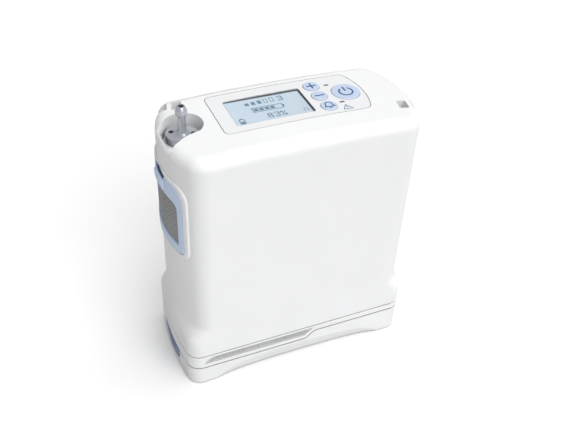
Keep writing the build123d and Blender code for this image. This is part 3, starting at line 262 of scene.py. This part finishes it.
def clear(name, tint=(0.965, 0.98, 0.985)):
    """Clear display lens: see-through with a hazy reflection and an anti-glare skin."""
    g = Graph(name)
    g.tree.nodes.remove(g.bsdf)
    through = g.node("ShaderNodeBsdfTransparent")
    g.link(g.ramp(g.noise(40, 2), shade(tint, 0.985), tint), through.inputs["Color"])
    gloss = g.node("ShaderNodeBsdfGlossy")
    g.link(g.ramp(g.noise(HAZE_SCALE, 2), 0.10, 0.2), gloss.inputs["Roughness"])
    bump = g.node("ShaderNodeBump", Strength=0.2, Distance=0.000004)
    g.link(g.noise(HAZE_SCALE, 2), bump.inputs["Height"])
    g.link(bump.outputs[0], gloss.inputs["Normal"])
    fresnel = g.node("ShaderNodeFresnel", IOR=LENS_IOR)
    side = g.node("ShaderNodeNewGeometry")
    front_only = g.node("ShaderNodeMath", operation="MULTIPLY_ADD")
    front_only.inputs[1].default_value = -1.0
    front_only.inputs[2].default_value = 1.0
    g.link(side.outputs["Backfacing"], front_only.inputs[0])
    amount = g.node("ShaderNodeMath", operation="MULTIPLY")
    g.link(fresnel.outputs[0], amount.inputs[0])
    g.link(front_only.outputs[0], amount.inputs[1])
    mix = g.node("ShaderNodeMixShader")
    g.link(amount.outputs[0], mix.inputs[0])
    g.link(through.outputs[0], mix.inputs[1])
    g.link(gloss.outputs[0], mix.inputs[2])
    g.link(mix.outputs[0], g.out.inputs[0])
    return g.mat


WHITE = (0.865, 0.87, 0.875)
PALE_WHITE = (0.82, 0.825, 0.835)
NOZZLE = (0.47, 0.495, 0.54)
WRAP = (0.05, 0.22, 0.46)
# dark and reach paint shade into the gaps and hollows of the finishes that take them
mats = {
    "casing_white": moulded("casing_white", WHITE, rough=0.46, vary=0.012, sss=0.1, dark=0.04, reach=3.0),
    "panel_white": moulded("panel_white", PALE_WHITE, rough=0.36, vary=0.01, grain=4200, dark=0.75),
    "key_blue": moulded("key_blue", (0.56, 0.65, 0.82), rough=0.40, vary=0.03, dark=0.4),
    "lcd_clear": clear("lcd_clear"),
    "lcd_face": moulded("lcd_face", (0.70, 0.775, 0.86), rough=0.5, vary=0.02),
    "led_clear": moulded("led_clear", (0.16, 0.165, 0.17), rough=0.2, vary=0.04, coat=0.4),
    "frame_blue": moulded("frame_blue", (0.58, 0.70, 0.90), rough=0.44, vary=0.03, dark=0.3),
    # latch_blue is darker than frame_blue as painted shade for the shaded spot the latch sits in
    "latch_blue": moulded("latch_blue", (0.20, 0.29, 0.50), rough=0.44, vary=0.03, dark=0.3),
    "mesh_grey": fibres("mesh_grey", (0.10, 0.10, 0.105)),
    "nozzle_grey": moulded(
        "nozzle_grey", NOZZLE, rough=0.21, vary=0.05, coat=0.9, metallic=0.35, dark=0.1, reach=4.5
    ),
    "vent_grey": moulded("vent_grey", (0.62, 0.625, 0.63), rough=0.5, vary=0.05),
    "black_plastic": moulded("black_plastic", (0.025, 0.026, 0.028), rough=0.5, vary=0.2),
    "board_green": circuit("board_green", (0.02, 0.16, 0.07)),
    "steel": metal("steel", (0.60, 0.60, 0.62), 0.28),
    "aluminium": metal("aluminium", (0.78, 0.79, 0.80), 0.36, (1, 1, 0.05)),
    "copper": metal("copper", (0.80, 0.42, 0.22), 0.35, (1, 0.06, 1)),
    "rubber_black": rubber("rubber_black", (0.03, 0.03, 0.03)),
    "silicone": rubber("silicone", (0.70, 0.71, 0.69), 0.4),
    "cell_wrap": moulded("cell_wrap", WRAP, rough=0.24, vary=0.1, coat=0.6, grain=600, depth=0.00006),
    "sieve_beige": beads("sieve_beige", (0.74, 0.67, 0.54)),
    "label_silver": moulded("label_silver", (0.72, 0.73, 0.74), rough=0.34, vary=0.03, grain=5000),
    "gold": metal("gold", (0.85, 0.64, 0.30), 0.2),
    "felt_white": fibres("felt_white", (0.80, 0.80, 0.78)),
    "print_blue": moulded("print_blue", (0.012, 0.09, 0.26), rough=0.45, vary=0.06),
    "lcd_ink": moulded("lcd_ink", (0.19, 0.29, 0.39), rough=0.5, vary=0.08),
    "mesh_wire": moulded("mesh_wire", (0.40, 0.40, 0.405), rough=0.5, vary=0.12),
}

SHARP_ANGLE = 32.0


def dress(mesh, material, sharp=SHARP_ANGLE):
    """Gives a mesh its one material and smooth shading between edges sharper than the angle, in degrees."""
    mesh.materials.clear()
    mesh.materials.append(mats[material])
    mesh.polygons.foreach_set("use_smooth", [True] * len(mesh.polygons))
    mesh.set_sharp_from_angle(angle=math.radians(sharp))


slots = {s["node"]: s["material_slot"] for s in frame["record"]["subparts"]}
for name, obj in nodes.items():
    dress(obj.data, slots[name])


# ------------------------------------------------------------------ mesh helpers
def piece(name, bm, material, body, sharp=SHARP_ANGLE):
    """Finishes a bmesh as an object that rides on a body, in the named material."""
    mesh = bpy.data.meshes.new(name)
    bm.normal_update()
    bm.to_mesh(mesh)
    bm.free()
    obj = bpy.data.objects.new(name, mesh)
    bpy.context.scene.collection.objects.link(obj)
    dress(mesh, material, sharp)
    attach(obj, body)
    return obj


# ------------------------------------------------------------------ reference surfaces
def crown(x):
    """Height of the casing's top at x, in millimetres."""
    return TOP_Z - CROWN_R + math.sqrt(CROWN_R**2 - x**2)


def end_x(y, off=0.0):
    """Left end of the upper body at y, moved outward by off, in millimetres."""
    return -(END_HALF - END_R + math.sqrt((END_R + off) ** 2 - y**2))


# ------------------------------------------------------------------ flat printed marks
def prism(bm, outline, z0, z1):
    """Adds a flat prism between two heights; outline runs anticlockwise, in millimetres."""
    low = [bm.verts.new((x * MM, y * MM, z0(x) * MM)) for x, y in outline]
    high = [bm.verts.new((x * MM, y * MM, z1(x) * MM)) for x, y in outline]
    bm.faces.new(high)
    bm.faces.new(low[::-1])
    for i in range(len(outline)):
        j = (i + 1) % len(outline)
        bm.faces.new((low[i], low[j], high[j], high[i]))


MITRE_LIMIT = 0.4


def stroke(bm, points, width, z0, z1, closed=False):
    """Adds a line of even width along points as one quad prism per segment, mitred at the joints."""
    n = len(points)
    sides = []
    for i, (x, y) in enumerate(points):
        before = points[i - 1] if (closed or i) else None
        after = points[(i + 1) % n] if (closed or i < n - 1) else None
        dirs = []
        if before:
            dirs.append(Vector((x - before[0], y - before[1])).normalized())
        if after:
            dirs.append(Vector((after[0] - x, after[1] - y)).normalized())
        tangent = sum(dirs, Vector((0, 0))).normalized()
        normal = Vector((-tangent.y, tangent.x))
        reach = width / 2 / max(MITRE_LIMIT, abs(normal.dot(Vector((-dirs[0].y, dirs[0].x)))))
        across = normal * reach
        sides.append(((x + across.x, y + across.y), (x - across.x, y - across.y)))
    rings = []
    for left, right in sides:
        rings.append(
            [
                bm.verts.new((px * MM, py * MM, h(px) * MM))
                for (px, py), h in ((right, z0), (right, z1), (left, z1), (left, z0))
            ]
        )
    pairs = list(zip(rings, rings[1:])) + ([(rings[-1], rings[0])] if closed else [])
    for a, b in pairs:
        for k in range(4):
            bm.faces.new((a[k], b[k], b[(k + 1) % 4], a[(k + 1) % 4]))
    if not closed:
        bm.faces.new(rings[0])
        bm.faces.new(rings[-1][::-1])


def arc(cx, cy, r, a0, a1, steps):
    """Points along an arc, angles in degrees."""
    angles = [math.radians(a0 + (a1 - a0) * i / steps) for i in range(steps + 1)]
    return [(cx + r * math.cos(a), cy + r * math.sin(a)) for a in angles]


def rect(cx, cy, wide, tall):
    """Corners of a rectangle, anticlockwise from the lower left."""
    corners = ((-1, -1), (1, -1), (1, 1), (-1, 1))
    return [(cx + a * wide / 2, cy + b * tall / 2) for a, b in corners]


SUNK = 0.02


def printed(name, body, material, draw, z, depth=0.05):
    """One printed mark lying on the height function z."""
    bm = bmesh.new()
    draw(bm, lambda x: z(x) - SUNK, lambda x: z(x) + depth)
    bmesh.ops.recalc_face_normals(bm, faces=bm.faces)
    return piece(name, bm, material, body)


def bell(cx, cy, half):
    """Bell outline of the given half width, without its clapper."""
    shoulder = 0.25 * half
    side = [(half, -0.62 * half), (0.74 * half, -0.3 * half), (0.66 * half, shoulder)]
    dome = arc(0, shoulder, 0.66 * half, 0, 180, 10)[1:-1]
    points = side + dome + [(-x, y) for x, y in reversed(side)]
    return [(cx + x, cy + y) for x, y in points]


def draw_power(bm, z0, z1):
    """Broken ring with an upright bar in the gap."""
    x, y = POWER_AT
    weight = 0.95
    stroke(bm, arc(x, y - 0.2, 3.9, 122, 418, 40), weight, z0, z1)
    stroke(bm, [(x, y + 0.6), (x, y + 4.9)], weight, z0, z1)


def draw_plus(bm, z0, z1):
    """Upright cross with w half the width of an arm and r its reach."""
    x, y = PLUS_AT
    w, r = 0.45, 2.9
    quarter = [(w, w), (w, r), (-w, r)]
    turns = [quarter]
    for _ in range(3):
        turns.append([(-b, a) for a, b in turns[-1]])
    prism(bm, [(x + a, y + b) for turn in turns for a, b in turn], z0, z1)


def draw_minus(bm, z0, z1):
    prism(bm, rect(*MINUS_AT, 5.8, 0.9), z0, z1)


def draw_alert(bm, z0, z1):
    """Bell with a clapper under it."""
    x, y = ALERT_AT
    weight = 0.62
    stroke(bm, bell(x, y, 2.9), weight, z0, z1, closed=True)
    stroke(bm, arc(x, y - 2.3, 0.85, 190, 350, 8), weight, z0, z1)


def draw_triangle(bm, z0, z1):
    """Triangle outline around a bar and a dot."""
    x, y = TRIANGLE_AT
    stroke(bm, [(x - 2.7, y - 1.9), (x + 2.7, y - 1.9), (x, y + 2.5)], 0.42, z0, z1, closed=True)
    for rise, tall in ((0.25, 1.7), (-1.15, 0.45)):
        prism(bm, rect(x, y + rise, 0.45, tall), z0, z1)


for key, at, draw in (
    ("power", POWER_AT, draw_power),
    ("plus", PLUS_AT, draw_plus),
    ("minus", MINUS_AT, draw_minus),
    ("alert", ALERT_AT, draw_alert),
):
    key_top = crown(at[0]) + KEY_PROUD
    printed(f"mark_{key}", f"{key}_button", "print_blue", draw, lambda _, top=key_top: top)
printed("mark_triangle", "device", "print_blue", draw_triangle, crown, 0.04)

# ------------------------------------------------------------------ display picture
# Characters as strokes in a unit square
STROKES = {
    "3": (
        ((0, 0.84), (0.22, 1), (0.78, 1), (1, 0.84), (1, 0.66), (0.76, 0.52), (0.36, 0.52)),
        ((0.76, 0.5), (1, 0.34), (1, 0.16), (0.78, 0), (0.22, 0), (0, 0.16)),
    ),
    "8": (
        (
            (0.25, 0.52), (0.75, 0.52), (0.95, 0.66), (0.95, 0.85),
            (0.76, 1), (0.24, 1), (0.05, 0.85), (0.05, 0.66),
        ),
        ((0.25, 0.5), (0, 0.33), (0, 0.16), (0.22, 0), (0.78, 0), (1, 0.16), (1, 0.33), (0.75, 0.5)),
    ),
    "%": (
        ((0.05, 0), (0.95, 1)),
        ((0, 0.72), (0, 0.98), (0.28, 0.98), (0.28, 0.72)),
        ((0.72, 0.02), (0.72, 0.28), (1, 0.28), (1, 0.02)),
    ),
}


def draw_glyph(bm, glyph, x, y, wide, tall, weight, z0, z1):
    """Stroked character with its lower left corner at x, y; strokes of 4 or 8 points are closed rings."""
    for line in STROKES[glyph]:
        points = [(x + a * wide, y + b * tall) for a, b in line]
        stroke(bm, points, weight, z0, z1, closed=len(line) in (4, 8))


def draw_levels(bm, x, y, full, z0, z1):
    """Row of five rising bars from x, y, the first ones full and the others hollow."""
    pitch, edge = 3.7, 0.42
    for k in range(5):
        tall = 2.6 + 0.45 * k
        middle = (x + k * pitch, y + tall / 2)
        if k < full:
            prism(bm, rect(*middle, 2.3, tall), z0, z1)
        else:
            stroke(bm, rect(*middle, 1.9, tall - 0.4), edge, z0, z1, closed=True)


def draw_battery(bm, x, y, cells, z0, z1):
    """Lying battery symbol centred at x, y with its cells filled from the left."""
    stroke(bm, rect(x, y, 17.4, 4.2), 0.55, z0, z1, closed=True)
    prism(bm, rect(x + 9.3, y, 0.9, 2.0), z0, z1)
    for k in range(cells):
        prism(bm, rect(x - 6.7 + k * 3.2, y, 2.5, 2.6), z0, z1)


def draw_picture(bm, z0, z1):
    """Flow level with its digit, battery symbol and charge, one below the other."""
    draw_levels(bm, -20.6, 10.2, 3, z0, z1)
    draw_glyph(bm, "3", -2.4, 10.3, 2.9, 4.2, 0.68, z0, z1)
    draw_battery(bm, -10.9, 4.9, 4, z0, z1)
    for k, glyph in enumerate("83%"):
        draw_glyph(bm, glyph, -13.5 + k * 3.9, -4.5, 2.7, 4.0, 0.6, z0, z1)


def draw_corner_icons(bm, z0, z1):
    """Upright battery in the lower left corner and bell in the lower right one."""
    x, y = -28.65, -3.9
    stroke(bm, rect(x, y, 2.7, 4.3), 0.5, z0, z1, closed=True)
    prism(bm, rect(x, y - 1.0, 1.9, 2.2), z0, z1)
    prism(bm, rect(x, y + 2.7, 1.4, 0.7), z0, z1)
    stroke(bm, bell(8.6, -2.9, 1.6), 0.34, z0, z1, closed=True)


for name, draw in (("display_reading", draw_picture), ("display_icons", draw_corner_icons)):
    printed(name, "device", "lcd_ink", draw, lambda _: FACE_Z, INK_DEPTH)


# ------------------------------------------------------------------ woven filter screen
def window_z(y):
    """Lower and upper edge of the filter window at y."""
    span = []
    for radius, edge, sign in ((WINDOW_RL, WINDOW_Z0, 1), (WINDOW_RT, WINDOW_Z1, -1)):
        over = max(0.0, abs(y) - (WINDOW_HALF - radius))
        span.append(edge + sign * (radius - math.sqrt(max(0.0, radius**2 - over**2))))
    return span


def window_y(z):
    """Half width of the filter window at z."""
    half = WINDOW_HALF
    if z < WINDOW_Z0 + WINDOW_RL:
        half -= WINDOW_RL - math.sqrt(max(0.0, WINDOW_RL**2 - (WINDOW_Z0 + WINDOW_RL - z) ** 2))
    if z > WINDOW_Z1 - WINDOW_RT:
        half -= WINDOW_RT - math.sqrt(max(0.0, WINDOW_RT**2 - (z - WINDOW_Z1 + WINDOW_RT) ** 2))
    return half


def wire(bm, points, radius, sides=6):
    """Adds a round wire along points, closed at both ends, in millimetres."""
    rings = []
    for i, p in enumerate(points):
        tangent = (Vector(points[min(i + 1, len(points) - 1)]) - Vector(points[max(i - 1, 0)])).normalized()
        a = tangent.cross(Vector((1, 0.01, 0.02))).normalized()
        b = tangent.cross(a)
        ring = []
        for k in range(sides):
            t = 2 * math.pi * k / sides
            ring.append(bm.verts.new((Vector(p) + a * math.cos(t) * radius + b * math.sin(t) * radius) * MM))
        rings.append(ring)
    for lower, upper in zip(rings, rings[1:]):
        for k in range(sides):
            bm.faces.new((lower[k], lower[(k + 1) % sides], upper[(k + 1) % sides], upper[k]))
    bm.faces.new(rings[0][::-1])
    bm.faces.new(rings[-1])


def weave_screen():
    """Plain woven screen that follows the bowed end of the casing, each wire run a little under the frame."""
    under = 0.25
    step = WIRE_PITCH / 4
    bm = bmesh.new()
    for i in range(-18, 19):
        y = i * WIRE_PITCH
        if abs(y) > WINDOW_HALF - 0.3:
            continue
        z0, z1 = window_z(y)
        length = z1 - z0 + 2 * under
        steps = int(length / step)
        points = []
        for k in range(steps + 1):
            z = z0 - under + length * k / steps
            wave = WIRE_SWING * math.cos(math.pi * (z / WIRE_PITCH + i))
            points.append((end_x(y, -0.05) - wave, y, z))
        wire(bm, points, WIRE_R)
    for j in range(int(WINDOW_Z0 / WIRE_PITCH), int(WINDOW_Z1 / WIRE_PITCH) + 2):
        z = j * WIRE_PITCH
        if not WINDOW_Z0 + 0.2 < z < WINDOW_Z1 - 0.2:
            continue
        half = window_y(z) + under
        steps = int(2 * half / step)
        points = []
        for k in range(steps + 1):
            y = -half + 2 * half * k / steps
            wave = WIRE_SWING * math.cos(math.pi * (y / WIRE_PITCH + j))
            points.append((end_x(y, -0.05) + wave, y, z))
        wire(bm, points, WIRE_R)
    bmesh.ops.recalc_face_normals(bm, faces=bm.faces)
    screen = piece("filter_screen", bm, "mesh_wire", "intake_filter", sharp=60)
    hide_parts("filter_mesh")


weave_screen()


# ------------------------------------------------------------------ latch spring
def soft_spring():
    """Latch spring copied into a piece of its own that rides on the battery."""
    solid = nodes["latch_spring"]
    bm = bmesh.new()
    bm.from_mesh(solid.data)
    bm.transform(solid.matrix_world)
    slot = slots["latch_spring"]
    spring = piece("latch_coil", bm, slot, "battery")
    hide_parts("latch_spring")
    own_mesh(spring)


soft_spring()


# ------------------------------------------------------------------ stage
# Sun lamps and the soft box: place and aim in metres, strength, and angle in degrees or size in metres
LAMPS = (
    ("overhead", "SUN", (0.45, -0.1, 2.0), (0, 0, 0), 1.7, 50),
    ("front", "SUN", (0.4, -1.6, 1.2), (0, 0, 0), 1.48, 50),
    ("key", "AREA", (-0.15, -0.75, 0.65), (0, 0, 0.12), 0.25, 0.5),
)
SKY = 0.32
FLOOR_SIZE = 4.0
FLOOR_SEEN = (0.94, 0.97)
FLOOR_LIT = (0.66, 0.66, 0.66, 1)

# Camera: turned about the upright axis, tilted down and rolled, in degrees, then its place in metres
CAMERA_TURN, CAMERA_TILT, CAMERA_ROLL = 24.63, 39.63, 2.91
CAMERA_AT = (-0.14840, -0.32511, 0.38307)
SENSOR, LENS = 36.0, 47.95516


def build_floor():
    """Pale floor that looks lighter to the camera than to the light it reflects onto the object."""
    bm = bmesh.new()
    bmesh.ops.create_grid(bm, x_segments=2, y_segments=2, size=FLOOR_SIZE)
    mesh = bpy.data.meshes.new("floor")
    bm.to_mesh(mesh)
    bm.free()
    floor = bpy.data.objects.new("floor", mesh)
    bpy.context.scene.collection.objects.link(floor)
    g = Graph("floor")
    seen = g.node("ShaderNodeLightPath")
    paper = g.node("ShaderNodeMix", data_type="RGBA")
    g.link(seen.outputs["Is Camera Ray"], paper.inputs[0])
    paper.inputs[6].default_value = FLOOR_LIT
    g.link(g.ramp(g.noise(3, 3), *FLOOR_SEEN), paper.inputs[7])
    g.link(paper.outputs[2], g.bsdf.inputs["Base Color"])
    g.bsdf.inputs["Roughness"].default_value = 0.9
    mesh.materials.append(g.mat)


def build_lamp(name, kind, where, target, energy, size):
    data = bpy.data.lights.new(name, kind)
    data.energy = energy
    if kind == "SUN":
        data.angle = math.radians(size)
    else:
        data.size = size
    lamp = bpy.data.objects.new(name, data)
    lamp.location = where
    aim = Vector(target) - Vector(where)
    lamp.rotation_euler = aim.to_track_quat("-Z", "Y").to_euler()
    bpy.context.scene.collection.objects.link(lamp)


def build_studio():
    """Even white surroundings and the lamps."""
    world = bpy.data.worlds.new("studio")
    world.use_nodes = True
    background = world.node_tree.nodes["Background"]
    background.inputs[0].default_value = (1.0, 1.0, 1.0, 1)
    background.inputs[1].default_value = SKY
    bpy.context.scene.world = world
    for lamp in LAMPS:
        build_lamp(*lamp)


def build_camera():
    turn, tilt, roll = (math.radians(v) for v in (CAMERA_TURN, CAMERA_TILT, CAMERA_ROLL))
    forward = Vector((math.sin(turn) * math.cos(tilt), math.cos(turn) * math.cos(tilt), -math.sin(tilt)))
    right = Vector((math.cos(turn), -math.sin(turn), 0))
    up = right.cross(forward)
    cam_x = math.cos(roll) * right + math.sin(roll) * up
    cam_y = -math.sin(roll) * right + math.cos(roll) * up
    data = bpy.data.cameras.new("camera")
    data.sensor_width = SENSOR
    data.lens = LENS
    data.clip_start = 0.01
    data.clip_end = 20.0
    cam = bpy.data.objects.new("camera", data)
    basis = Matrix((cam_x, cam_y, -forward)).transposed().to_4x4()
    basis.translation = Vector(CAMERA_AT)
    cam.matrix_world = basis
    bpy.context.scene.collection.objects.link(cam)
    bpy.context.scene.camera = cam


build_floor()
build_studio()
build_camera()
bpy.context.scene.view_settings.view_transform = "Standard"
